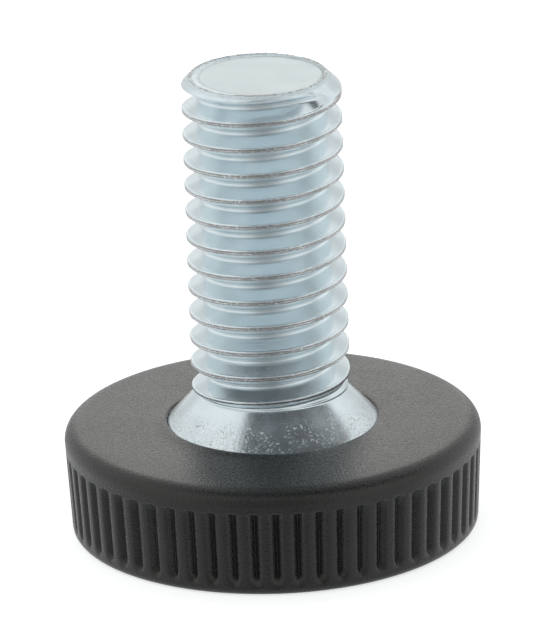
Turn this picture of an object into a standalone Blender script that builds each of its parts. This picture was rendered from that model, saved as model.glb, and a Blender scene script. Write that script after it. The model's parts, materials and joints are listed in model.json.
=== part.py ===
"""Furniture leveling foot: a threaded steel stud that rocks in a knurled plastic base.

Three pieces. The stud is one cold-formed steel bolt: a 3/8-16 UNC thread, a plain neck, a
conical collar and, out of sight in the base, a ball-sided hex head. The base is a moulded
plastic ring-shaped foot with a grooved rim for the fingers. The sole plug is pressed into the
base from below, behind the head, and its button carries the head.

Frame: metres, +Z up along the stud, origin at the centre of the underside, -Y the front.
"""

import math

import bmesh
import bpy
from mathutils import Matrix

MM = 0.001

# Base: outer shape.
BASE_RADIUS = 12.5 * MM
BASE_HEIGHT = 6.7 * MM
SHOULDER_RADIUS = 0.95 * MM
RIM_DRAFT = math.radians(3.0)
BOTTOM_EDGE_RADIUS = 0.4 * MM

# Base: the finger grooves round the rim.
GROOVES = 60
GROOVE_WIDTH = 0.65 * MM
GROOVE_DEPTH = 0.4 * MM
GROOVE_BOTTOM = 0.65 * MM
GROOVE_TOP = 5.15 * MM

# Base: the ribbed channel in the underside.
CHANNEL_INNER_RADIUS = 9.5 * MM
CHANNEL_OUTER_RADIUS = 10.8 * MM
CHANNEL_ROOF = 5.2 * MM
RIBS = 12
RIB_ANGLE = math.radians(5.0)

# Stud: 3/8-16 UNC thread.
STUD_TOP = 28.3 * MM
THREAD_RADIUS = 9.525 * MM / 2
THREAD_PITCH = 25.4 * MM / 16
CREST_FLAT = 0.27 * MM
FLANK_ANGLE = math.radians(30.0)
ROOT_RADIUS = 3.79 * MM
GROOVE_START_ANGLE = math.radians(-36.0)
GROOVE_START_HEIGHT = 27.73 * MM
GROOVE_TURNS = 12.03
RUN_IN_TURNS = 0.08
RUN_OUT_TURNS = 0.64

# Stud: end chamfer, neck, conical collar and head.
END_FACE_RADIUS = 4.15 * MM
END_CHAMFER_HEIGHT = THREAD_RADIUS - END_FACE_RADIUS
NECK_RADIUS = 4.27 * MM
NECK_BOTTOM = 8.8 * MM
NECK_TOP = 8.95 * MM
SHANK_BOTTOM = 9.3 * MM
COLLAR_RADIUS = 6.26 * MM
HEAD_ACROSS_FLATS = 13.0 * MM
HEAD_BOTTOM = 2.6 * MM

# The stud rocks about this point on its own axis.
PIVOT_HEIGHT = 1.4 * MM
BALL_RADIUS = math.hypot(COLLAR_RADIUS, BASE_HEIGHT - PIVOT_HEIGHT)

# Fits.
BALL_CLEARANCE = 0.15 * MM
HEX_CLEARANCE = 0.35 * MM
PLUG_CLEARANCE = 0.1 * MM
PLUG_RECESS = 0.3 * MM

# Sole plug.
PLUG_RADIUS = 8.15 * MM
PLUG_THICKNESS = 1.75 * MM
PLUG_CHAMFER = 0.25 * MM
BUTTON_RADIUS = 1.2 * MM
BUTTON_TOP = 2.45 * MM

# Facets.
RIM_STEPS = GROOVES
STUD_STEPS = 30
ARC_STEPS = 5
BALL_STEPS = 8
BOTTOM_EDGE_STEPS = 2
BAY_STEPS = 4
FRONT = math.radians(-90.0)
WELD = 1e-6

# How far a cutter reaches past the surface it cuts.
PAST = 1.0 * MM
PAST_CREST = 0.18 * MM
PAST_CORNER = 0.1 * MM


def clear_scene():
    for obj in list(bpy.data.objects):
        bpy.data.objects.remove(obj, do_unlink=True)


def new_collection(name):
    collection = bpy.data.collections.new(name)
    bpy.context.scene.collection.children.link(collection)
    return collection


def new_material(name, colour, roughness, metallic):
    material = bpy.data.materials.new(name)
    material.use_nodes = True
    shader = material.node_tree.nodes["Principled BSDF"]
    shader.inputs["Base Color"].default_value = (*colour, 1.0)
    shader.inputs["Roughness"].default_value = roughness
    shader.inputs["Metallic"].default_value = metallic
    return material


def new_object(name, bm, collection):
    mesh = bpy.data.meshes.new(name)
    bm.to_mesh(mesh)
    bm.free()
    obj = bpy.data.objects.new(name, mesh)
    collection.objects.link(obj)
    return obj


def arc(centre_r, centre_z, radius, start, end, steps):
    """Points (r, z) on an arc, from angle start to angle end above the horizontal."""
    angles = [start + (end - start) * i / steps for i in range(steps + 1)]
    return [(centre_r + radius * math.cos(a), centre_z + radius * math.sin(a)) for a in angles]


def turned(name, profile, steps, collection):
    """A solid of revolution. The profile of (r, z) points runs down its outer side."""
    bm = bmesh.new()
    verts = [bm.verts.new((r, 0.0, z)) for r, z in profile]
    for upper, lower in zip(verts, verts[1:]):
        bm.edges.new((upper, lower))
    obj = new_object(name, bm, collection)
    screw = obj.modifiers.new("Turn", "SCREW")
    screw.axis = "Z"
    screw.angle = math.tau
    screw.steps = steps
    screw.render_steps = steps
    screw.use_merge_vertices = True
    screw.merge_threshold = WELD
    screw.use_smooth_shade = True
    return obj


def hex_prism(name, across_flats, bottom, top, collection):
    """A hexagonal prism with two flats facing the front and the back."""
    bm = bmesh.new()
    corner = across_flats / 2 / math.cos(math.pi / 6)
    middle = Matrix.Translation((0.0, 0.0, (bottom + top) / 2))
    bmesh.ops.create_cone(bm, cap_ends=True, segments=6, radius1=corner, radius2=corner,
                          depth=top - bottom, matrix=middle @ Matrix.Rotation(math.pi / 6, 4, "Z"))
    return new_object(name, bm, collection)


def boolean(obj, operation, other):
    modifier = obj.modifiers.new(operation.title() + " " + other.name, "BOOLEAN")
    modifier.operation = operation
    modifier.solver = "EXACT"
    modifier.object = other


def as_cutter(obj):
    obj.hide_render = True
    obj.display_type = "WIRE"
    return obj


def ball_sector(name, radius, bottom, collection):
    """The ball above the given height, about the pivot, closed flat underneath."""
    lowest = math.asin((bottom - PIVOT_HEIGHT) / radius)
    profile = arc(0.0, PIVOT_HEIGHT, radius, math.pi / 2, lowest, 2 * BALL_STEPS)
    profile[0] = (0.0, PIVOT_HEIGHT + radius)
    return turned(name, profile + [(0.0, bottom)], STUD_STEPS, collection)


def thread_groove(collection):
    """The helical groove between the thread's crests, as one closed swept solid."""
    half_root = (THREAD_PITCH - CREST_FLAT) / 2 - (THREAD_RADIUS - ROOT_RADIUS) * math.tan(FLANK_ANGLE)
    outer_radius = THREAD_RADIUS + PAST_CREST
    half_outer = half_root + (outer_radius - ROOT_RADIUS) * math.tan(FLANK_ANGLE)
    section = [(ROOT_RADIUS, half_root), (outer_radius, half_outer),
               (outer_radius, -half_outer), (ROOT_RADIUS, -half_root)]
    full_depth = THREAD_RADIUS - ROOT_RADIUS
    rings = round(GROOVE_TURNS * STUD_STEPS)
    bm = bmesh.new()
    previous = None
    for i in range(rings + 1):
        turns = i / STUD_STEPS
        angle = GROOVE_START_ANGLE - math.tau * turns
        height = GROOVE_START_HEIGHT - THREAD_PITCH * turns
        run_in = max(0.0, 1.0 - turns / RUN_IN_TURNS)
        run_out = max(0.0, 1.0 - (GROOVE_TURNS - turns) / RUN_OUT_TURNS)
        lift = full_depth * max(run_in, run_out)
        ring = []
        for r, z in section:
            radius = r + lift
            ring.append(bm.verts.new((radius * math.cos(angle), radius * math.sin(angle), height + z)))
        if previous is None:
            bm.faces.new(ring)
        else:
            for a in range(4):
                b = (a + 1) % 4
                bm.faces.new((previous[a], previous[b], ring[b], ring[a]))
        previous = ring
    bm.faces.new(previous)
    bmesh.ops.recalc_face_normals(bm, faces=bm.faces)
    return as_cutter(new_object("thread_groove_cutter", bm, collection))


def threaded_stud(parts, cutters):
    profile = [(0.0, STUD_TOP), (END_FACE_RADIUS, STUD_TOP),
               (THREAD_RADIUS, STUD_TOP - END_CHAMFER_HEIGHT),
               (THREAD_RADIUS, SHANK_BOTTOM), (NECK_RADIUS, NECK_TOP), (NECK_RADIUS, NECK_BOTTOM)]
    rim_angle = math.atan2(BASE_HEIGHT - PIVOT_HEIGHT, COLLAR_RADIUS)
    corner_radius = HEAD_ACROSS_FLATS / 2 / math.cos(math.pi / 6)
    widest_angle = math.acos((corner_radius + PAST_CORNER) / BALL_RADIUS)
    profile += arc(0.0, PIVOT_HEIGHT, BALL_RADIUS, rim_angle, widest_angle, BALL_STEPS)
    profile += [(profile[-1][0], HEAD_BOTTOM), (0.0, HEAD_BOTTOM)]
    stud = turned("threaded_stud", profile, STUD_STEPS, parts)
    flats = hex_prism("head_flats_cutter", HEAD_ACROSS_FLATS, HEAD_BOTTOM - PAST, STUD_TOP + PAST, cutters)
    boolean(stud, "INTERSECT", as_cutter(flats))
    boolean(stud, "DIFFERENCE", thread_groove(cutters))
    return stud


def base_profile():
    shoulder_z = BASE_HEIGHT - SHOULDER_RADIUS
    shoulder_r = BASE_RADIUS - SHOULDER_RADIUS
    bottom_r = BASE_RADIUS - shoulder_z * math.tan(RIM_DRAFT)
    shoulder = arc(shoulder_r, shoulder_z, SHOULDER_RADIUS, math.pi / 2, 0.0, ARC_STEPS)
    bottom_edge = arc(bottom_r - BOTTOM_EDGE_RADIUS, BOTTOM_EDGE_RADIUS, BOTTOM_EDGE_RADIUS,
                      0.0, -math.pi / 2, BOTTOM_EDGE_STEPS)
    return [(0.0, BASE_HEIGHT)] + shoulder + bottom_edge + [(0.0, 0.0)]


def rim_grooves(collection):
    """Square-ended grooves round the rim, leaning with its draft."""
    bm = bmesh.new()
    height = GROOVE_TOP - GROOVE_BOTTOM
    middle_z = (GROOVE_TOP + GROOVE_BOTTOM) / 2
    rim_z = BASE_HEIGHT - SHOULDER_RADIUS
    floor_r = BASE_RADIUS - (rim_z - middle_z) * math.tan(RIM_DRAFT) - GROOVE_DEPTH
    size = Matrix.Diagonal((PAST, GROOVE_WIDTH, height, 1.0))
    for i in range(GROOVES):
        turn = Matrix.Rotation(FRONT + math.tau * i / GROOVES, 4, "Z")
        place = Matrix.Translation((floor_r + PAST / 2, 0.0, middle_z))
        lean = Matrix.Rotation(RIM_DRAFT, 4, "Y")
        bmesh.ops.create_cube(bm, size=1.0, matrix=turn @ place @ lean @ size)
    return as_cutter(new_object("rim_groove_cutter", bm, collection))


def underside_channel(collection):
    """The channel in the underside, in separate bays between the ribs."""
    bm = bmesh.new()
    bay = math.tau / RIBS - RIB_ANGLE
    corners = [(CHANNEL_INNER_RADIUS, -PAST), (CHANNEL_OUTER_RADIUS, -PAST),
               (CHANNEL_OUTER_RADIUS, CHANNEL_ROOF), (CHANNEL_INNER_RADIUS, CHANNEL_ROOF)]
    for i in range(RIBS):
        start = FRONT + math.tau * i / RIBS + RIB_ANGLE / 2
        turn = Matrix.Rotation(start, 4, "Z")
        face = bm.faces.new([bm.verts.new(turn @ Matrix.Translation((r, 0.0, z)).to_translation())
                             for r, z in corners])
        bmesh.ops.spin(bm, geom=[face, *face.edges, *face.verts], cent=(0.0, 0.0, 0.0),
                       axis=(0.0, 0.0, 1.0), angle=bay, steps=BAY_STEPS)
    bmesh.ops.recalc_face_normals(bm, faces=bm.faces)
    return as_cutter(new_object("channel_cutter", bm, collection))


def head_socket(collection):
    """The room for the stud's head: a ball seat with six flat sides."""
    socket = ball_sector("socket_cutter", BALL_RADIUS + BALL_CLEARANCE, PLUG_THICKNESS, collection)
    pocket = hex_prism("socket_flats_cutter", HEAD_ACROSS_FLATS + 2 * HEX_CLEARANCE,
                       PLUG_THICKNESS - PAST, STUD_TOP, collection)
    boolean(socket, "INTERSECT", as_cutter(pocket))
    return as_cutter(socket)


def plug_bore(collection):
    radius = PLUG_RADIUS + PLUG_CLEARANCE
    top = PLUG_THICKNESS + PLUG_RECESS
    profile = [(0.0, top), (radius, top), (radius, -PAST), (0.0, -PAST)]
    return as_cutter(turned("plug_bore_cutter", profile, STUD_STEPS, collection))


def knurled_base(parts, cutters):
    base = turned("knurled_base", base_profile(), RIM_STEPS, parts)
    for cutter in (rim_grooves(cutters), underside_channel(cutters), head_socket(cutters),
                   plug_bore(cutters)):
        boolean(base, "DIFFERENCE", cutter)
    return base


def sole_plug(parts):
    profile = [(0.0, BUTTON_TOP), (BUTTON_RADIUS, BUTTON_TOP), (BUTTON_RADIUS, PLUG_THICKNESS),
               (PLUG_RADIUS - PLUG_CHAMFER, PLUG_THICKNESS),
               (PLUG_RADIUS, PLUG_THICKNESS - PLUG_CHAMFER),
               (PLUG_RADIUS, PLUG_CHAMFER), (PLUG_RADIUS - PLUG_CHAMFER, 0.0), (0.0, 0.0)]
    return turned("sole_plug", profile, STUD_STEPS, parts)


def main():
    clear_scene()
    parts = new_collection("leveling_foot")
    cutters = new_collection("cutters")
    stud = threaded_stud(parts, cutters)
    base = knurled_base(parts, cutters)
    plug = sole_plug(parts)
    stud.data.materials.append(new_material("zinc_steel", (0.62, 0.66, 0.68), 0.28, 1.0))
    base.data.materials.append(new_material("black_nylon", (0.018, 0.018, 0.019), 0.5, 0.0))
    plug.data.materials.append(new_material("black_plug", (0.022, 0.022, 0.023), 0.55, 0.0))


main()
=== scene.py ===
"""Furniture leveling foot: the looks of the zinc-plated stud, the grooved black base and its sole plug.

Every piece is a grid of points worked out from a radius formula round the stud's axis: the
thread is a helix of rounded profiles with nicked crests, the base a section that changes with
the angle for its grooves, ribs and hex socket. All lengths are metres, in the frame of the CAD.
"""

import json
import math

import bpy
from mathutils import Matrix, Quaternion, Vector, noise


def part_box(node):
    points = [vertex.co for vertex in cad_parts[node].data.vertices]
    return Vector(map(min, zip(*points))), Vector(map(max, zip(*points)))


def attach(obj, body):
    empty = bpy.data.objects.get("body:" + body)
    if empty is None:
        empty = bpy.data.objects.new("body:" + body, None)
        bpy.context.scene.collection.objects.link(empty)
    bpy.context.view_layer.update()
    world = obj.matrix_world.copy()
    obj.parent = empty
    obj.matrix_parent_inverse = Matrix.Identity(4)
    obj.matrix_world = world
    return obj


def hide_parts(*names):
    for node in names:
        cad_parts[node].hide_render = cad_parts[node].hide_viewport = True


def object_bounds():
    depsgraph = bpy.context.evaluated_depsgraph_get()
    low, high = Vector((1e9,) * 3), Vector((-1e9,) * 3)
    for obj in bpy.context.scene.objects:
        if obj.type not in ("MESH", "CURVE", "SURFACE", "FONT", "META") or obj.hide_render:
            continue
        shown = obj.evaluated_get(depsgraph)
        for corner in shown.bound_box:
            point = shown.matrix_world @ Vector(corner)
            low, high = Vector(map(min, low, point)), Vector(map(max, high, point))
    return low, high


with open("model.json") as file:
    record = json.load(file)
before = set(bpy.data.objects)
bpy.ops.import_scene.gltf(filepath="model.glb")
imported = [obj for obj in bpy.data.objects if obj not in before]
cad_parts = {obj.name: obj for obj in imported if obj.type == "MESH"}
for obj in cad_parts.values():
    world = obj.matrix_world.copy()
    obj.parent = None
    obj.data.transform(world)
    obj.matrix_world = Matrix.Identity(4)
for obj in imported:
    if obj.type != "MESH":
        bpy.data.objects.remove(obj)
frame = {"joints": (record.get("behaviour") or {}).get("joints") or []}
cad_low, cad_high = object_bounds()

MM = 0.001
TAU = math.tau
FRONT = math.radians(-90.0)

# Places taken from the frame.
STUD_LOW, STUD_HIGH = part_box("threaded_stud")
_, BASE_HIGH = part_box("knurled_base")
_, PLUG_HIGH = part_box("sole_plug")
PIVOT = Vector(frame["joints"][0]["pos_m"])

# Stud: 3/8-16 UNC thread, right-handed. Turns count down the thread from the first crest at the
# front, so a ridge at the front has a whole number.
THREAD_RADIUS = 9.525 * MM / 2
THREAD_PITCH = 25.4 * MM / 16
ROOT_RADIUS = 3.79 * MM
HALF_CREST = 0.125 * MM
FLANK_ANGLE = math.radians(30.0)
FLANK_SLOPE = 1.0 / math.tan(FLANK_ANGLE)
CREST_ROUNDING = 0.09 * MM
CREST_SEAM = 0.02 * MM
CREST_BAND = 0.1 * MM
NICK_DEPTH = 0.02 * MM
NICK_REACH = 0.08 * MM
FIRST_CREST = STUD_HIGH.z - 1.60 * MM
GROOVE_START = -0.21
GROOVE_FULL = -0.03
LAST_FULL_RIDGE = 11.25
RIDGE_FLATTENING = 8.0
RIDGE_SINK_START = 11.5
RUN_OUT_START = 11.2
RUN_OUT_MIDDLE = 11.8
RUN_OUT_END = 12.13
RUN_OUT_ROUNDING = 0.17 * MM
RUN_OUT_STEP = 0.1 * MM

# Stud mesh: columns round the axis, and rows as shares of the way from a ridge to the one above.
STUD_COLUMNS = 192
STUD_ANGLES = [FRONT + TAU * i / STUD_COLUMNS for i in range(STUD_COLUMNS)]
PROFILE_ROWS = (0.0, 0.025, 0.05, 0.065, 0.08, 0.095, 0.11, 0.13, 0.17, 0.23, 0.29, 0.34,
                0.37, 0.39, 0.41, 0.435, 0.465)
CREST_SHARE = 0.17
GRID_BOTTOM = 8.25 * MM
GRID_TURNS = 17
GRID_LAST_TURN = 14.0
MERGE_DISTANCE = 0.005 * MM

# Stud: end, neck, collar and head. The lip's steps are (inset, sink) in millimetres.
END_RADIUS = 4.16 * MM
END_OFFSET = 0.20 * MM
END_DROP = 0.09 * MM
CHAMFER_SLOPE = 1.05
CHAMFER_ROUNDING = 0.14 * MM
END_LIP = ((0.04, 0.03), (0.09, 0.005), (0.14, 0.0), (0.19, 0.015),
           (0.24, 0.055), (0.29, 0.09), (0.36, 0.11))
WIDEST_LIP = 1.6
LIP_DENT = 0.05 * MM
FACE_SHARES = (0.97, 0.8, 0.5, 0.2)
NECK_RADIUS = 4.28 * MM
NECK_BOTTOM = 8.8 * MM
COLLAR_RADIUS = 6.26 * MM
COLLAR_FILLET = 0.06 * MM
COLLAR_STEPS = 20
HEAD_FLAT = STUD_HIGH.y
HEAD_ROUNDING = 0.15 * MM
HEAD_EDGE = 0.2 * MM
HEAD_STEPS = 24
# Rings across the head's underside: (share of the head's radius, rise in millimetres).
HEAD_UNDERSIDE = ((0.985, 0.06), (0.96, 0.0), (0.7, 0.0), (0.35, 0.0))
BASE_TOP = BASE_HIGH.z
BALL_RADIUS = math.hypot(COLLAR_RADIUS, BASE_TOP - PIVOT.z)

# Base.
BASE_RADIUS = BASE_HIGH.x
CROWN_FALL = 0.08 * MM
SHOULDER_RADIUS = 0.95 * MM
RIM_DRAFT = math.radians(3.0)
BOTTOM_EDGE_RADIUS = 0.4 * MM
GROOVES = 60
GROOVE_WIDTH = 0.68 * MM
# Columns each side of a groove's middle, as shares of half its width.
GROOVE_COLUMNS = (0.07, 0.35, 0.65, 0.86, 1.04, 1.25)
GROOVE_DEPTH = 0.36 * MM
GROOVE_SOFTNESS = 0.5
GROOVE_TOP = 5.15 * MM
GROOVE_TOP_EDGE = 0.16 * MM
GROOVE_BOTTOM = 0.42 * MM
GROOVE_FADE = 0.80 * MM
CHANNEL_INNER_RADIUS = 9.5 * MM
CHANNEL_OUTER_RADIUS = 10.8 * MM
CHANNEL_ROOF = 5.2 * MM
RIBS = 12
RIB_ANGLE = math.radians(5.0)
RIB_SIDE = math.radians(0.8)
UNDERSIDE_EDGE = 0.05 * MM
BALL_CLEARANCE = 0.15 * MM
HEX_CLEARANCE = 0.35 * MM
BORE_RADIUS = PLUG_HIGH.x + 0.1 * MM
PLUG_FACE = 1.75 * MM
BORE_TOP = PLUG_FACE + 0.3 * MM
MOUTH_GAP = 0.06 * MM
MOUTH_DEPTH = 0.5 * MM
MOUTH_ROUNDING = 0.16 * MM
THROAT_GAP = 0.05 * MM
THROAT_DEPTH = 0.3 * MM
LIP_HEIGHT = 0.10 * MM
LIP_ANGLE = math.radians(-150.0)
LIP_SPREAD = (math.radians(25.0), math.radians(75.0))
LIP_FADE = 0.6 * MM

# Sole plug.
BUTTON_RADIUS = 1.2 * MM
BUTTON_EDGE = 0.15 * MM
GATE_RADIUS = 0.9 * MM
GATE_DEPTH = 0.2 * MM
PLUG_CORE = 0.3 * MM
PLUG_EDGE = 0.25 * MM
PLUG_COLUMNS = 144

# Camera.
CAMERA_ELEVATION = math.radians(19.8)
CAMERA_DISTANCE = 0.45
CAMERA_ROLL = math.radians(1.95)
CAMERA_AIM = Vector((-0.15 * MM, 0.0, 12.85 * MM))
CAMERA_LENS = 424.0
SENSOR_WIDTH = 36.0


def blend(a, b, t):
    return a + (b - a) * t


def smoothstep(low, high, value):
    t = min(1.0, max(0.0, (value - low) / (high - low)))
    return t * t * (3.0 - 2.0 * t)


def soft_min(a, b, width):
    """The lower of two values, with their corner rounded over the width."""
    h = max(0.0, width - abs(a - b)) / width
    return min(a, b) - h * h * width / 4.0


def soft_max(a, b, width):
    return -soft_min(-a, -b, width)


def turn_difference(a, b):
    """The angle from b to a, between minus half a turn and half a turn."""
    return (a - b + math.pi) % TAU - math.pi


def new_piece(name, verts, faces, material, body, node):
    """A smooth-shaded mesh that rides on a body and stands for a CAD node."""
    mesh = bpy.data.meshes.new(name)
    mesh.from_pydata(verts, [], faces)
    mesh.validate()
    mesh.shade_smooth()
    mesh.materials.append(material)
    piece = bpy.data.objects.new(name, mesh)
    bpy.context.scene.collection.objects.link(piece)
    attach(piece, body)
    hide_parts(node)


def ring_faces(upper, lower):
    """Quads between two rings of vertex numbers, facing out when upper lies above lower."""
    count = len(upper)
    return [(upper[i], lower[i], lower[(i + 1) % count], upper[(i + 1) % count]) for i in range(count)]


def polar(radius, angle, height):
    return (radius * math.cos(angle), radius * math.sin(angle), height)


# --- Stud ---------------------------------------------------------------------------------------

def ridge_height(turn):
    """Height of the thread's ridge at a turn; the last turn flattens out against the collar."""
    past = max(0.0, min(turn, RUN_OUT_END) - LAST_FULL_RIDGE)
    flattened = (1.0 - math.exp(-RIDGE_FLATTENING * past)) / RIDGE_FLATTENING
    gone = max(0.0, turn - RUN_OUT_END)
    return FIRST_CREST - THREAD_PITCH * (min(turn, LAST_FULL_RIDGE) + flattened + gone)


def ridge_radius(turn):
    """The ridge is full until its last half turn, where it sinks to the neck."""
    return blend(THREAD_RADIUS, NECK_RADIUS, smoothstep(RIDGE_SINK_START, RUN_OUT_END, turn))


def groove_radius(off_middle):
    """The full groove's radius at a distance from its middle: 60 degree flanks and a round bottom."""
    sharp = THREAD_RADIUS - (THREAD_PITCH / 2 - HALF_CREST) * FLANK_SLOPE
    bend = ROOT_RADIUS - sharp
    if off_middle < bend * math.cos(FLANK_ANGLE):
        return sharp + 2.0 * bend - math.sqrt(bend ** 2 - off_middle ** 2)
    return sharp + off_middle * FLANK_SLOPE


def run_out_radius(turn):
    """How far out the groove's bottom has come at a turn of the run-out above the collar."""
    come_out = smoothstep(RUN_OUT_START, RUN_OUT_MIDDLE, turn)
    bottom = blend(ROOT_RADIUS - RUN_OUT_ROUNDING, NECK_RADIUS + RUN_OUT_STEP, come_out)
    return blend(bottom, NECK_RADIUS, smoothstep(RUN_OUT_MIDDLE, RUN_OUT_END, turn))


def wander(angle, detail, layer):
    """Smooth noise between -1 and 1 round the axis: more detail makes shorter waves."""
    return noise.noise(Vector((math.cos(angle) * detail, math.sin(angle) * detail, layer)))


def thread_radius(angle, turn, height):
    """The thread between the ridge at a turn and the ridge above it."""
    low, high = ridge_height(turn), ridge_height(turn - 1.0)
    low_cap, high_cap = ridge_radius(turn), ridge_radius(turn - 1.0)
    low_side = low_cap - (height - low - HALF_CREST) * FLANK_SLOPE
    high_side = high_cap - (high - HALF_CREST - height) * FLANK_SLOPE
    if turn > RUN_OUT_START:
        radius = soft_max(max(low_side, high_side), run_out_radius(turn), RUN_OUT_ROUNDING)
    else:
        radius = groove_radius(abs(height - (low + high) / 2))
    radius = soft_min(radius, blend(low_cap, high_cap, (height - low) / (high - low)), CREST_ROUNDING)
    radius = blend(THREAD_RADIUS, radius, smoothstep(GROOVE_START, GROOVE_FULL, turn))
    from_crest = min(height - low, high - height)
    if turn > GROOVE_FULL and radius > THREAD_RADIUS - CREST_BAND:
        edge = 1.0 - min(1.0, abs(from_crest - HALF_CREST) / NICK_REACH)
        nick = max(0.0, wander(angle, 11.0, height / MM * 1.2) + 0.3)
        radius -= NICK_DEPTH * edge * nick
        radius -= CREST_SEAM * (1.0 - smoothstep(0.2, 0.9, from_crest / HALF_CREST))
    return radius


def end_edge(angle):
    """The end face's edge: off centre and uneven, as sheared and rolled."""
    uneven = wander(angle, 2.2, 3.0)
    fine = wander(angle, 9.0, 7.0)
    return END_RADIUS - END_OFFSET * math.cos(angle) + (0.05 * uneven + 0.025 * fine) * MM


def lip_width(angle):
    """How wide the rolled lip round the end face is, as a share of its usual width."""
    broad = wander(angle, 3.0, 11.0)
    fine = wander(angle, 14.0, 13.0)
    return 1.0 + 0.35 * broad + 0.30 * fine


def lip_dent(angle):
    """How far the lip's top is beaten down at an angle."""
    return LIP_DENT * abs(wander(angle, 12.0, 17.0))


def cone_radius(height):
    """The collar's cone, which would reach the neck's radius at the neck's bottom."""
    slope = (COLLAR_RADIUS - NECK_RADIUS) / (NECK_BOTTOM - BASE_TOP)
    return NECK_RADIUS + (NECK_BOTTOM - height) * slope


def stud_surface(angle, turn, height):
    """The stud's radius above the grid's bottom: thread, bevelled end and collar in one."""
    chamfer = end_edge(angle) + (STUD_HIGH.z - END_DROP - height) * CHAMFER_SLOPE
    radius = soft_min(thread_radius(angle, turn, height), chamfer, CHAMFER_ROUNDING)
    return soft_max(radius, cone_radius(height), COLLAR_FILLET)


def row_height(turn, share):
    """Height of a row at a share of the way up from the ridge at a turn to the ridge above."""
    low, high = ridge_height(turn), ridge_height(turn - 1.0)
    if share <= CREST_SHARE:
        return low + share * THREAD_PITCH
    if share >= 1.0 - CREST_SHARE:
        return high - (1.0 - share) * THREAD_PITCH
    middle = (share - CREST_SHARE) / (1.0 - 2.0 * CREST_SHARE)
    return blend(low + CREST_SHARE * THREAD_PITCH, high - CREST_SHARE * THREAD_PITCH, middle)


def thread_column(verts, i, shares, low_point, high_point):
    """A column's vertex numbers from the bottom up; rows past either end share its end point."""
    low, high = verts[low_point][2], verts[high_point][2]
    column = []
    for g in range(GRID_TURNS * len(shares) + 1):
        turn = GRID_LAST_TURN - g // len(shares) - i / STUD_COLUMNS
        height = row_height(turn, shares[g % len(shares)])
        if height <= low + MERGE_DISTANCE:
            column.append(low_point)
        elif height >= high - MERGE_DISTANCE:
            column.append(high_point)
        else:
            column.append(len(verts))
            verts.append(polar(stud_surface(STUD_ANGLES[i], turn, height), STUD_ANGLES[i], height))
    return column


def thread_grid(verts, faces):
    """Rows that follow the helix from the collar to the end. Returns the rings that bound it."""
    shares = list(PROFILE_ROWS) + [0.5] + [1.0 - u for u in reversed(PROFILE_ROWS[1:])]
    low_ring, high_ring, table = [], [], []
    for i, angle in enumerate(STUD_ANGLES):
        low_ring.append(len(verts))
        verts.append(polar(cone_radius(GRID_BOTTOM), angle, GRID_BOTTOM))
        high_ring.append(len(verts))
        verts.append(polar(end_edge(angle), angle, STUD_HIGH.z - END_DROP))
        table.append(thread_column(verts, i, shares, low_ring[i], high_ring[i]))
    rows = len(table[0]) - 1
    for i in range(STUD_COLUMNS):
        here, there = table[i], table[(i + 1) % STUD_COLUMNS]
        shift = len(shares) if i + 1 == STUD_COLUMNS else 0
        for g in range(rows):
            below = there[min(g + shift, rows)]
            above = there[min(g + 1 + shift, rows)]
            corners = list(dict.fromkeys((here[g], below, above, here[g + 1])))
            if len(corners) > 2:
                faces.append(tuple(corners))
    return low_ring, high_ring


def head_radius(angle, height):
    """The hidden head: a ball about the pivot, cut to a hexagon."""
    ball = math.sqrt(max(0.0, BALL_RADIUS ** 2 - (height - PIVOT.z) ** 2))
    return soft_min(ball, hexagon(angle, HEAD_FLAT), HEAD_ROUNDING)


def hexagon(angle, flat):
    """Distance from the axis to the side of a hexagon with flats at the front and back."""
    sixth = TAU / 6
    return flat / math.cos((angle - FRONT + sixth / 2) % sixth - sixth / 2)


def add_ring(verts, radius_at, height_at):
    """Adds a ring of points round the stud, from its radius and height at each angle."""
    start = len(verts)
    verts.extend(polar(radius_at(a), a, height_at(a)) for a in STUD_ANGLES)
    return list(range(start, start + STUD_COLUMNS))


def collar_and_head_rings(verts):
    """Rings down the cone, the hidden ball and hexagon, and across the head's underside."""
    rings = []
    for i in range(1, COLLAR_STEPS + 1):
        height = blend(GRID_BOTTOM, BASE_TOP, i / COLLAR_STEPS)
        rings.append(add_ring(verts, lambda a: cone_radius(height), lambda a: height))
    for i in range(1, HEAD_STEPS + 1):
        height = blend(BASE_TOP, STUD_LOW.z + HEAD_EDGE, i / HEAD_STEPS)
        rings.append(add_ring(verts, lambda a: head_radius(a, height), lambda a: height))
    for share, rise in HEAD_UNDERSIDE:
        height = STUD_LOW.z + rise * MM
        rings.append(add_ring(verts, lambda a: share * head_radius(a, STUD_LOW.z), lambda a: height))
    return rings


def end_rings(verts):
    """Rings over the rolled lip and in across the end face."""
    rings = []
    for inset, sink in END_LIP:
        rings.append(add_ring(verts, lambda a: end_edge(a) - inset * MM * lip_width(a),
                              lambda a: STUD_HIGH.z - sink * MM - lip_dent(a)))
    inset, sink = END_LIP[-1]
    inside = END_RADIUS - inset * MM * WIDEST_LIP
    for share in FACE_SHARES:
        rings.append(add_ring(verts, lambda a: share * (inside - END_OFFSET * math.cos(a)),
                              lambda a: STUD_HIGH.z - sink * MM))
    return rings


def make_stud(material):
    verts, faces = [], []
    low_ring, high_ring = thread_grid(verts, faces)
    previous = low_ring
    for current in collar_and_head_rings(verts):
        faces.extend(ring_faces(previous, current))
        previous = current
    faces.append(tuple(previous[::-1]))
    previous = high_ring
    for current in end_rings(verts):
        faces.extend(ring_faces(current, previous))
        previous = current
    faces.append(tuple(previous))
    new_piece("stud", verts, faces, material, "stud", "threaded_stud")


# --- Base ---------------------------------------------------------------------------------------

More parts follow.
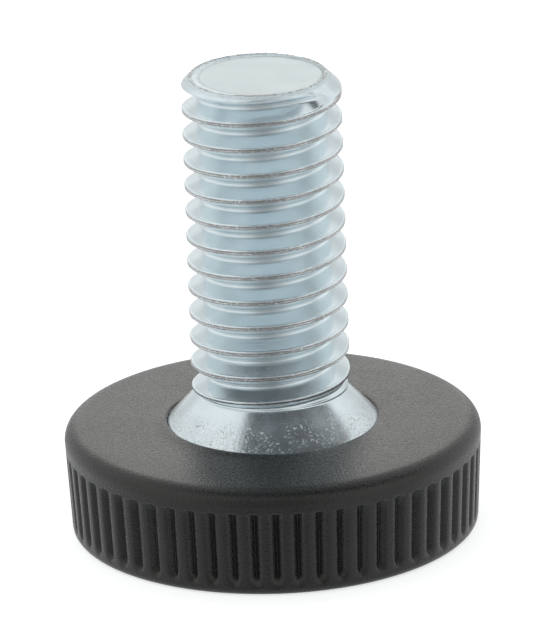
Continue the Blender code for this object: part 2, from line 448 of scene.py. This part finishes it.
def groove_cut(angle, height):
    """How deep the finger groove is: a soft-edged V that ends at its top and fades at its bottom."""
    pitch = TAU / GROOVES
    across = abs((angle - FRONT + pitch / 2) % pitch - pitch / 2) * BASE_RADIUS
    foot = smoothstep(GROOVE_BOTTOM, GROOVE_BOTTOM + GROOVE_FADE, height)
    top = 1.0 - smoothstep(GROOVE_TOP - GROOVE_TOP_EDGE / 2, GROOVE_TOP + GROOVE_TOP_EDGE / 2, height)
    side = 1.0 - across / (GROOVE_WIDTH / 2)
    return GROOVE_DEPTH * soft_max(side, 0.0, GROOVE_SOFTNESS) * foot * top


def rim_radius(height):
    """The rim's radius under the shoulder, narrowing downwards with its draft."""
    return BASE_RADIUS - max(0.0, BASE_TOP - SHOULDER_RADIUS - height) * math.tan(RIM_DRAFT)


def groove_columns():
    """Angles of the base's columns: close together across each groove."""
    land = TAU / GROOVES / 2
    half = [share * GROOVE_WIDTH / 2 / BASE_RADIUS for share in GROOVE_COLUMNS]
    offsets = [-land] + [-h for h in reversed(half)] + [0.0] + half
    return [FRONT + TAU * g / GROOVES + o for g in range(GROOVES) for o in offsets]


def groove_rows():
    """Heights down the grooved rim, close together at the grooves' top ends and where they fade."""
    half = GROOVE_TOP_EDGE / 2
    rows = [blend(BASE_TOP - SHOULDER_RADIUS, GROOVE_TOP + 2 * half, t / 3) for t in (1, 2, 3)]
    rows += [GROOVE_TOP + half * t for t in (1.0, 0.5, 0.0, -0.5, -1.0)]
    foot = GROOVE_BOTTOM + GROOVE_FADE
    rows += [blend(GROOVE_TOP - half, foot, t / 7) for t in range(1, 8)]
    rows += [blend(foot, GROOVE_BOTTOM, t / 8) for t in range(1, 9)]
    return rows


def lip_rise(angle):
    """The mouth's edge stands a little proud on one side, as moulded."""
    away = abs(turn_difference(angle, LIP_ANGLE))
    return LIP_HEIGHT * (1.0 - smoothstep(*LIP_SPREAD, away))


def channel_roof(angle):
    """The underside channel's roof at an angle: down at the underside on a rib."""
    pitch = TAU / RIBS
    across = abs((angle - FRONT + pitch / 2) % pitch - pitch / 2)
    return CHANNEL_ROOF * smoothstep(RIB_ANGLE / 2, RIB_ANGLE / 2 + RIB_SIDE, across)


def socket_radius(angle, height):
    """The socket: a seat for the ball, cut to a hexagon round the head's flats."""
    ball = BALL_RADIUS + BALL_CLEARANCE
    seat = math.sqrt(max(0.0, ball ** 2 - (height - PIVOT.z) ** 2))
    return min(seat, hexagon(angle, HEAD_FLAT + HEX_CLEARANCE))


def crown_points(angle):
    """(radius, height) from the mouth's rounded edge out over the top and round the shoulder."""
    rise = lip_rise(angle)
    points = []
    for i in range(5):
        a = math.pi - math.pi / 2 * i / 4
        points.append((COLLAR_RADIUS + MOUTH_GAP + MOUTH_ROUNDING * (1.0 + math.cos(a)),
                       BASE_TOP - MOUTH_ROUNDING * (1.0 - math.sin(a)) + rise))
    flat_start = COLLAR_RADIUS + MOUTH_GAP + MOUTH_ROUNDING
    flat_end = BASE_RADIUS - SHOULDER_RADIUS
    for i in range(1, 14):
        t = i / 14
        radius = blend(flat_start, flat_end, t)
        fade = 1.0 - smoothstep(0.0, LIP_FADE, radius - flat_start)
        points.append((radius, BASE_TOP - CROWN_FALL * t * t + rise * fade))
    for i in range(11):
        a = math.pi / 2 * (1.0 - i / 10)
        points.append((flat_end + SHOULDER_RADIUS * math.cos(a),
                       BASE_TOP - SHOULDER_RADIUS + (SHOULDER_RADIUS - CROWN_FALL) * math.sin(a)))
    return points


def rim_points(angle):
    """(radius, height) down the grooved rim and round the bottom edge."""
    points = [(rim_radius(height) - groove_cut(angle, height), height) for height in groove_rows()]
    edge = BOTTOM_EDGE_RADIUS
    for i in range(6):
        a = -math.pi / 2 * i / 5
        points.append((rim_radius(edge) - edge + edge * math.cos(a), edge + edge * math.sin(a)))
    return points


def underside_points(angle):
    """(radius, height) in along the underside, over the ribbed channel and up the plug's bore."""
    outer, inner, edge = CHANNEL_OUTER_RADIUS, CHANNEL_INNER_RADIUS, UNDERSIDE_EDGE
    roof = channel_roof(angle)
    shoulder = max(roof - edge, 0.0)
    return [(outer + 4 * edge, 0.0), (outer + edge, 0.0), (outer, min(roof, edge)),
            (outer, roof * 0.5), (outer, shoulder), (outer - edge, roof),
            (inner + edge, roof), (inner, shoulder), (inner, roof * 0.5),
            (inner, min(roof, edge)), (inner - edge, 0.0), (inner - 4 * edge, 0.0),
            (BORE_RADIUS + 3 * edge, 0.0), (BORE_RADIUS, 3 * edge),
            (BORE_RADIUS, BORE_TOP - edge), (BORE_RADIUS - edge, BORE_TOP)]


def socket_points(angle):
    """(radius, height) up the socket to the throat under the mouth."""
    heights = [blend(BORE_TOP, BASE_TOP - MOUTH_DEPTH, i / 12) for i in range(13)]
    throat = BASE_TOP - THROAT_DEPTH
    throat_radius = math.sqrt((BALL_RADIUS + THROAT_GAP) ** 2 - (throat - PIVOT.z) ** 2)
    return [(socket_radius(angle, height), height) for height in heights] + [(throat_radius, throat)]


def base_section(angle):
    """The base's closed section at an angle, from the mouth down the outside and back up inside."""
    return crown_points(angle) + rim_points(angle) + underside_points(angle) + socket_points(angle)


def make_base(material):
    columns = [base_section(angle) for angle in groove_columns()]
    rows = len(columns[0])
    verts, faces = [], []
    for angle, column in zip(groove_columns(), columns):
        verts.extend(polar(radius, angle, height) for radius, height in column)
    for i in range(len(columns)):
        here, there = i * rows, (i + 1) % len(columns) * rows
        for j in range(rows):
            k = (j + 1) % rows
            faces.append((here + j, here + k, there + k, there + j))
    new_piece("base", verts, faces, material, "foot", "knurled_base")


def plug_profile():
    """(radius, height) from the button on top, down the plug's side, to the gate mark underneath."""
    radius, edge, face, top = PLUG_HIGH.x, PLUG_EDGE, PLUG_FACE, PLUG_HIGH.z
    button = [(PLUG_CORE, top), (BUTTON_RADIUS - BUTTON_EDGE, top),
              (BUTTON_RADIUS - 0.04 * MM, top - 0.04 * MM), (BUTTON_RADIUS, top - BUTTON_EDGE),
              (BUTTON_RADIUS, face + 0.12 * MM), (BUTTON_RADIUS + 0.12 * MM, face)]
    disc = [(radius * 0.6, face), (radius - edge, face), (radius - 0.3 * edge, face - 0.3 * edge),
            (radius, face - edge), (radius, edge), (radius - 0.3 * edge, 0.3 * edge),
            (radius - edge, 0.0), (radius * 0.8, 0.0), (radius * 0.5, 0.0)]
    gate = [(GATE_RADIUS + 0.15 * MM, 0.0), (GATE_RADIUS, 0.05 * MM),
            (GATE_RADIUS - 0.1 * MM, 0.18 * MM), (PLUG_CORE, GATE_DEPTH)]
    return button + disc + gate


def make_plug(material):
    verts, faces, previous = [], [], None
    for radius, height in plug_profile():
        start = len(verts)
        verts.extend(polar(radius, TAU * i / PLUG_COLUMNS, height) for i in range(PLUG_COLUMNS))
        current = list(range(start, start + PLUG_COLUMNS))
        faces.extend(ring_faces(previous, current) if previous else [tuple(current)])
        previous = current
    faces.append(tuple(previous[::-1]))
    new_piece("plug", verts, faces, material, "foot", "sole_plug")


# --- Materials ----------------------------------------------------------------------------------

ZINC_DEEP = (0.70, 0.785, 0.815, 1.0)
ZINC_PALE = (0.765, 0.84, 0.87, 1.0)
ZINC_END_FACE = (0.505, 0.56, 0.57, 1.0)
ZINC_FORGED = (0.60, 0.635, 0.64, 1.0)
# Warm grey: wear on the pitted lip's top, and painted shade on the crests' undersides.
ZINC_WEAR_AND_PAINTED_SHADE = (0.37, 0.355, 0.34, 1.0)
ZINC_METALLIC = 0.88
BASE_BLACK = (0.0062, 0.0058, 0.0055)
BASE_ROUGHNESS = 0.21
BASE_GRAIN = 0.036 * MM
PLUG_BLACK = (0.016, 0.016, 0.016)
PLUG_ROUGHNESS = 0.32
PLUG_GRAIN = 0.006 * MM
PLASTIC_CLOUDING = 1.25
PLASTIC_IOR = 1.52
PLASTIC_SHINE = (1.0, 0.975, 0.95, 1.0)


class Nodes:
    """Short calls for building a node tree."""

    def __init__(self, tree):
        self.tree = tree

    def add(self, kind, **settings):
        node = self.tree.nodes.new(kind)
        for name, value in settings.items():
            setattr(node, name, value)
        return node

    def link(self, output, target):
        self.tree.links.new(output, target)

    def put(self, socket, value):
        """Sets a socket to a number or a colour, or links it to an output."""
        if isinstance(value, bpy.types.NodeSocket):
            self.link(value, socket)
        else:
            socket.default_value = value

    def math(self, operation, a, b=0.0):
        node = self.add("ShaderNodeMath", operation=operation)
        self.put(node.inputs[0], a)
        self.put(node.inputs[1], b)
        return node.outputs[0]

    def product(self, *values):
        result = values[0]
        for value in values[1:]:
            result = self.math("MULTIPLY", result, value)
        return result

    def length(self, x, y):
        return self.math("SQRT", self.math("ADD", self.math("MULTIPLY", x, x), self.math("MULTIPLY", y, y)))

    def split(self, vector):
        """The three parts of a vector."""
        node = self.add("ShaderNodeSeparateXYZ")
        self.link(vector, node.inputs[0])
        return node.outputs

    def ramp(self, value, low, high, start=0.0, end=1.0):
        """A smooth change from start to end as the value goes from low to high."""
        node = self.add("ShaderNodeMapRange", interpolation_type="SMOOTHSTEP")
        self.put(node.inputs["Value"], value)
        for name, number in (("From Min", low), ("From Max", high), ("To Min", start), ("To Max", end)):
            node.inputs[name].default_value = number
        return node.outputs["Result"]

    def curve(self, value, points):
        """A number read off a smooth curve through (place, number) points; the numbers stay under 2."""
        low, high = points[0][0], points[-1][0]
        node = self.add("ShaderNodeValToRGB")
        ramp = node.color_ramp
        ramp.interpolation = "CARDINAL"
        while len(ramp.elements) < len(points):
            ramp.elements.new(0.5)
        for element, (place, number) in zip(ramp.elements, points):
            element.position = (place - low) / (high - low)
            element.color = (number, number, number, 1.0)
        share = self.math("DIVIDE", self.math("SUBTRACT", value, low), high - low)
        self.link(share, node.inputs[0])
        return node.outputs["Color"]

    def mix(self, share, a, b):
        node = self.add("ShaderNodeMix", data_type="RGBA")
        self.put(node.inputs["Factor"], share)
        self.put(node.inputs[6], a)
        self.put(node.inputs[7], b)
        return node.outputs[2]

    def noise(self, vector, size, detail=3.0, roughness=0.5):
        """Noise with spots of about the given size, from 0 to 1."""
        node = self.add("ShaderNodeTexNoise")
        self.link(vector, node.inputs["Vector"])
        node.inputs["Scale"].default_value = 1.0 / size
        node.inputs["Detail"].default_value = detail
        node.inputs["Roughness"].default_value = roughness
        return node.outputs["Fac"]

    def stretched(self, vector, x, y, z):
        """A vector whose parts are scaled: a scale below 1 draws the noise out along that part."""
        node = self.add("ShaderNodeMapping", vector_type="POINT")
        self.link(vector, node.inputs["Vector"])
        node.inputs["Scale"].default_value = (x, y, z)
        return node.outputs["Vector"]


def new_material(name):
    """An empty Principled material, its nodes, and its object-space position."""
    material = bpy.data.materials.new(name)
    material.use_nodes = True
    nodes = Nodes(material.node_tree)
    shader = material.node_tree.nodes["Principled BSDF"]
    position = nodes.add("ShaderNodeTexCoord").outputs["Object"]
    return material, nodes, shader, position


def bump(nodes, height, distance, strength, normal=None):
    node = nodes.add("ShaderNodeBump")
    nodes.link(height, node.inputs["Height"])
    node.inputs["Distance"].default_value = distance
    node.inputs["Strength"].default_value = strength
    if normal is not None:
        nodes.link(normal, node.inputs["Normal"])
    return node.outputs["Normal"]


def around_axis(nodes, position):
    """Distance from the stud's axis, the height, and a vector wrapped round it: (arc, height, 0)."""
    x, y, z = nodes.split(position)
    wrapped = nodes.add("ShaderNodeCombineXYZ")
    nodes.link(nodes.math("MULTIPLY", nodes.math("ARCTAN2", y, x), COLLAR_RADIUS), wrapped.inputs[0])
    nodes.link(z, wrapped.inputs[1])
    return nodes.length(x, y), z, wrapped.outputs[0]


class ZincMarks:
    """The noises and places that the zinc's colour, gloss and relief share."""

    def __init__(self, nodes, position):
        top = STUD_HIGH.z
        radius, height, wrapped = around_axis(nodes, position)
        facing = nodes.split(nodes.add("ShaderNodeTexCoord").outputs["Normal"])
        self.clouds = nodes.noise(position, 1.6 * MM, 4.0)
        self.grain = nodes.noise(position, 0.10 * MM, 3.0, 0.6)
        self.pits = nodes.noise(position, 0.15 * MM, 3.0, 0.65)
        self.patches = nodes.noise(position, 0.9 * MM, 2.0)
        self.rolled = nodes.noise(nodes.stretched(wrapped, 0.12, 1.0, 1.0), 0.14 * MM, 3.0)
        self.streaks = nodes.noise(nodes.stretched(wrapped, 1.0, 0.15, 1.0), 0.16 * MM, 3.0, 0.6)
        self.dashes = nodes.noise(nodes.stretched(wrapped, 0.5, 1.0, 1.0), 0.12 * MM, 2.0, 0.7)
        self.shank = nodes.ramp(height, NECK_BOTTOM - 0.1 * MM, NECK_BOTTOM + 0.1 * MM)
        self.crest_edge = nodes.product(
            nodes.ramp(radius, THREAD_RADIUS - 0.12 * MM, THREAD_RADIUS - 0.06 * MM),
            nodes.ramp(radius, THREAD_RADIUS - 0.005 * MM, THREAD_RADIUS - 0.03 * MM), self.shank)
        # Painted shade: the crests' outer band where it faces sideways or down.
        self.crest_underside_shade = nodes.product(
            nodes.ramp(radius, THREAD_RADIUS - 0.045 * MM, THREAD_RADIUS - 0.025 * MM), self.shank,
            nodes.ramp(facing["Z"], 0.22, 0.0))
        self.end_face = nodes.product(nodes.ramp(height, top - 0.16 * MM, top - 0.12 * MM),
                                      nodes.ramp(radius, 3.85 * MM, 3.65 * MM))
        self.lip = nodes.product(nodes.ramp(radius, 3.55 * MM, 3.75 * MM),
                                 nodes.ramp(height, top - 0.30 * MM, top - 0.15 * MM))
        self.lip_top = nodes.ramp(height, top - 0.06 * MM, top - 0.03 * MM)
        uneven = nodes.math("ADD", height, nodes.math("MULTIPLY", self.clouds, 0.8 * MM))
        self.forged = nodes.ramp(uneven, BASE_TOP + 1.9 * MM, BASE_TOP + 0.9 * MM)


def zinc_tint(nodes, marks):
    """Pale blue-grey, duller on the end face and the forged collar, warm grey painted shade on the crests'
    undersides broken into dashes, and warm grey wear on the lip's top.
    """
    tint = nodes.mix(nodes.ramp(marks.clouds, 0.35, 0.7), ZINC_DEEP, ZINC_PALE)
    tint = nodes.mix(marks.end_face, tint, ZINC_END_FACE)
    tint = nodes.mix(nodes.product(marks.forged, nodes.ramp(marks.grain, 0.4, 0.65)), tint, ZINC_FORGED)
    # Painted shade under the crests, broken into dashes; the lip's pits are wear.
    crest = nodes.product(marks.crest_underside_shade, nodes.ramp(marks.dashes, 0.66, 0.52))
    lip = nodes.product(marks.lip_top, nodes.ramp(marks.pits, 0.58, 0.46))
    return nodes.mix(nodes.math("MAXIMUM", crest, lip), tint, ZINC_WEAR_AND_PAINTED_SHADE)


def zinc_roughness(nodes, marks):
    rough = nodes.ramp(marks.clouds, 0.3, 0.75, 0.14, 0.20)
    rough = nodes.math("ADD", rough, nodes.math("MULTIPLY", marks.end_face, 0.16))
    return nodes.math("ADD", rough, nodes.ramp(marks.grain, 0.35, 0.65, 0.0, 0.05))


def zinc_relief(nodes, marks):
    """Fine grain, rolling lines along the thread, nicked crests, a rough lip and forging specks."""
    normal = bump(nodes, marks.grain, 0.004 * MM, 0.6)
    normal = bump(nodes, nodes.product(marks.rolled, marks.shank), 0.006 * MM, 0.5, normal)
    normal = bump(nodes, nodes.product(marks.dashes, marks.crest_edge), 0.025 * MM, 0.9, normal)
    normal = bump(nodes, nodes.product(marks.pits, marks.lip), 0.10 * MM, 0.9, normal)
    specks = nodes.product(nodes.ramp(marks.pits, 0.58, 0.70), nodes.ramp(marks.patches, 0.42, 0.60))
    forging = nodes.math("ADD", nodes.math("MULTIPLY", marks.streaks, 0.15), specks)
    return bump(nodes, nodes.product(forging, marks.forged), 0.045 * MM, 0.8, normal)


def zinc_material():
    """Bright zinc plate: faint blue tint, rough end edge, nicked crests with painted shade under them, and
    forging marks on the collar.
    """
    material, nodes, shader, position = new_material("zinc_plate")
    marks = ZincMarks(nodes, position)
    nodes.link(zinc_tint(nodes, marks), shader.inputs["Base Color"])
    nodes.link(zinc_roughness(nodes, marks), shader.inputs["Roughness"])
    nodes.link(zinc_relief(nodes, marks), shader.inputs["Normal"])
    shader.inputs["Metallic"].default_value = ZINC_METALLIC
    return material


def plastic_material(name, colour, roughness, grain_depth):
    """Black moulded plastic with a spark-eroded grain."""
    material, nodes, shader, position = new_material(name)
    clouds = nodes.noise(position, 3.0 * MM, 3.0)
    grain = nodes.noise(position, 0.13 * MM, 2.0, 0.6)
    fine = nodes.noise(position, 0.06 * MM, 2.0, 0.5)
    light = tuple(c * PLASTIC_CLOUDING for c in colour)
    tint = nodes.mix(nodes.ramp(clouds, 0.3, 0.7), (*colour, 1.0), (*light, 1.0))
    nodes.link(tint, shader.inputs["Base Color"])
    rough = nodes.ramp(clouds, 0.3, 0.7, roughness - 0.02, roughness + 0.03)
    rough = nodes.math("ADD", rough, nodes.ramp(grain, 0.35, 0.65, -0.05, 0.09))
    nodes.link(nodes.math("ADD", rough, nodes.math("MULTIPLY", fine, 0.05)), shader.inputs["Roughness"])
    normal = bump(nodes, grain, grain_depth, 0.9)
    normal = bump(nodes, fine, grain_depth / 3, 0.6, normal)
    nodes.link(normal, shader.inputs["Normal"])
    shader.inputs["IOR"].default_value = PLASTIC_IOR
    shader.inputs["Specular Tint"].default_value = PLASTIC_SHINE
    return material


# --- Studio -------------------------------------------------------------------------------------

# The wall round the horizon: (degrees from the front, positive to the right, brightness).
WALL = ((-180, 0.90), (-152, 0.74), (-132, 0.94), (-100, 0.92), (-75, 0.92), (-50, 0.90),
        (-28, 0.60), (-8, 0.36), (12, 0.42), (30, 0.68), (50, 0.94), (70, 0.88), (90, 0.80),
        (110, 0.98), (132, 0.94), (152, 0.72), (180, 0.90))
# What the front wall is multiplied by, by elevation in degrees: lamps stand above the table.
FRONT_LEVEL = ((-30, 0.68), (-16, 0.72), (-2, 1.30), (14, 1.60), (32, 1.25), (46, 0.95), (60, 0.9))
UPPER_WALL = 1.25
UPPER_WALL_SHARE = 0.6
TENT_TINT = (0.985, 1.0, 1.005)
TENT_BACK = (1.36, 1.36, 1.34)
BACK_INNER = math.radians(11.0)
BACK_OUTER = math.radians(23.0)
TABLE = (0.64, 0.72, 0.78)
TABLE_WALL_SHARE = 0.5
TABLE_EDGE = (-0.44, -0.58)
BACKGROUND = (1.0, 1.0, 1.0)
FLOOR_HALF = 3.0
FLOOR_DROP = 0.02 * MM
FLOOR_GREY = 0.86
FLOOR_GLOW = 0.62
# Places on the ceiling are (across, deep) on a plane one unit above the foot.
CEILING_LOWEST = 0.08
TENT_ROOF = (0.31, 0.375, 0.42)
ROOF_HALF_SIZES = (0.38, 0.36)
ROOF_EDGE = 0.18
TENT_DARK = (0.030, 0.031, 0.032)
ARCH_CENTRE = (0.2, 0.65)
ARCH_RADIUS = 1.12
ARCH_HALF_WIDTH = 0.24
ARCH_EDGE = 0.08
ARCH_LEFT_END = (-0.58, -0.42)
ARCH_RIGHT_END = (1.40, 1.20)
ARCH_BACK_END = (0.55, 0.35)


def tent_wall(nodes, x, y, z):
    """The wall's brightness in a direction."""
    round_about = nodes.math("ARCTAN2", x, nodes.math("MULTIPLY", y, -1.0))
    wall = nodes.curve(nodes.math("DEGREES", round_about), WALL)
    level = nodes.curve(nodes.math("DEGREES", nodes.math("ARCSINE", z)), FRONT_LEVEL)
    change = nodes.math("MULTIPLY", nodes.ramp(y, 0.20, -0.20), nodes.math("SUBTRACT", level, 1.0))
    wall = nodes.math("MULTIPLY", wall, nodes.math("ADD", 1.0, change))
    upper = nodes.ramp(z, 0.50, 0.70, 0.0, UPPER_WALL_SHARE)
    return nodes.math("ADD", wall, nodes.math("MULTIPLY", upper, nodes.math("SUBTRACT", UPPER_WALL, wall)))


def dark_arch(nodes, across, deep):
    """1 on a stretch of a ring drawn on the ceiling in front of the foot, 0 off it."""
    reach = nodes.length(nodes.math("SUBTRACT", across, ARCH_CENTRE[0]),
                         nodes.math("SUBTRACT", deep, ARCH_CENTRE[1]))
    off = nodes.math("ABSOLUTE", nodes.math("SUBTRACT", reach, ARCH_RADIUS))
    ring = nodes.ramp(off, ARCH_HALF_WIDTH + ARCH_EDGE, ARCH_HALF_WIDTH - ARCH_EDGE)
    return nodes.product(ring, nodes.ramp(across, *ARCH_LEFT_END), nodes.ramp(across, *ARCH_RIGHT_END),
                         nodes.ramp(deep, *ARCH_BACK_END))


def roof_patch(nodes, across, deep):
    """1 inside an ellipse drawn on the ceiling over the foot, 0 outside, with a soft edge."""
    reach = nodes.length(nodes.math("DIVIDE", across, ROOF_HALF_SIZES[0]),
                         nodes.math("DIVIDE", deep, ROOF_HALF_SIZES[1]))
    return nodes.ramp(reach, 1.0 + ROOF_EDGE, 1.0 - ROOF_EDGE)


def back_glow(nodes, direction):
    """1 round the place behind the foot that a level face mirrors to the camera, 0 off it."""
    along = nodes.add("ShaderNodeVectorMath", operation="DOT_PRODUCT")
    nodes.link(direction, along.inputs[0])
    along.inputs[1].default_value = (0.0, math.cos(CAMERA_ELEVATION), math.sin(CAMERA_ELEVATION))
    return nodes.ramp(along.outputs["Value"], math.cos(BACK_OUTER), math.cos(BACK_INNER))


def make_world():
    """A light tent on a pale table: grey behind the camera, a dark arch, a blue-grey roof."""
    world = bpy.data.worlds.new("light_tent")
    bpy.context.scene.world = world
    world.use_nodes = True
    nodes = Nodes(world.node_tree)
    direction = nodes.add("ShaderNodeTexCoord").outputs["Generated"]
    x, y, z = nodes.split(direction)
    above = nodes.math("MAXIMUM", z, CEILING_LOWEST)
    across, deep = nodes.math("DIVIDE", x, above), nodes.math("DIVIDE", y, above)

    wall = tent_wall(nodes, x, y, z)
    colour = nodes.mix(wall, (0.0, 0.0, 0.0, 1.0), (*TENT_TINT, 1.0))
    table = nodes.mix(nodes.math("MULTIPLY", wall, TABLE_WALL_SHARE), (*TABLE, 1.0), (1.0, 1.0, 1.0, 1.0))
    colour = nodes.mix(nodes.ramp(z, *TABLE_EDGE), colour, table)
    colour = nodes.mix(dark_arch(nodes, across, deep), colour, (*TENT_DARK, 1.0))
    colour = nodes.mix(roof_patch(nodes, across, deep), colour, (*TENT_ROOF, 1.0))
    colour = nodes.mix(back_glow(nodes, direction), colour, (*TENT_BACK, 1.0))
    seen = nodes.add("ShaderNodeLightPath").outputs["Is Camera Ray"]
    background = world.node_tree.nodes["Background"]
    nodes.link(nodes.mix(seen, colour, (*BACKGROUND, 1.0)), background.inputs["Color"])


def make_floor():
    """A plain pale floor, level with the foot's underside."""
    half = FLOOR_HALF
    mesh = bpy.data.meshes.new("floor")
    mesh.from_pydata([(-half, -half, 0.0), (half, -half, 0.0), (half, half, 0.0), (-half, half, 0.0)],
                     [], [(0, 1, 2, 3)])
    floor = bpy.data.objects.new("floor", mesh)
    bpy.context.scene.collection.objects.link(floor)
    floor.location.z = cad_low.z - FLOOR_DROP
    material, _, shader, _ = new_material("pale_floor")
    shader.inputs["Base Color"].default_value = (FLOOR_GREY, FLOOR_GREY, FLOOR_GREY, 1.0)
    shader.inputs["Roughness"].default_value = 0.9
    shader.inputs["Specular IOR Level"].default_value = 0.0
    shader.inputs["Emission Color"].default_value = (1.0, 1.0, 1.0, 1.0)
    shader.inputs["Emission Strength"].default_value = FLOOR_GLOW
    mesh.materials.append(material)
    floor.visible_glossy = False


def make_camera():
    data = bpy.data.cameras.new("camera")
    camera = bpy.data.objects.new("camera", data)
    bpy.context.scene.collection.objects.link(camera)
    data.lens = CAMERA_LENS
    data.sensor_width = SENSOR_WIDTH
    data.clip_start = 0.01
    back = Vector((0.0, -math.cos(CAMERA_ELEVATION), math.sin(CAMERA_ELEVATION)))
    camera.location = CAMERA_AIM + back * CAMERA_DISTANCE
    camera.rotation_mode = "QUATERNION"
    look = (-back).to_track_quat("-Z", "Y")
    camera.rotation_quaternion = look @ Quaternion((0.0, 0.0, 1.0), -CAMERA_ROLL)
    bpy.context.scene.camera = camera


bpy.context.scene.view_settings.view_transform = "Standard"
make_world()
make_floor()
make_camera()
make_stud(zinc_material())
make_base(plastic_material("black_nylon", BASE_BLACK, BASE_ROUGHNESS, BASE_GRAIN))
make_plug(plastic_material("black_plug", PLUG_BLACK, PLUG_ROUGHNESS, PLUG_GRAIN))
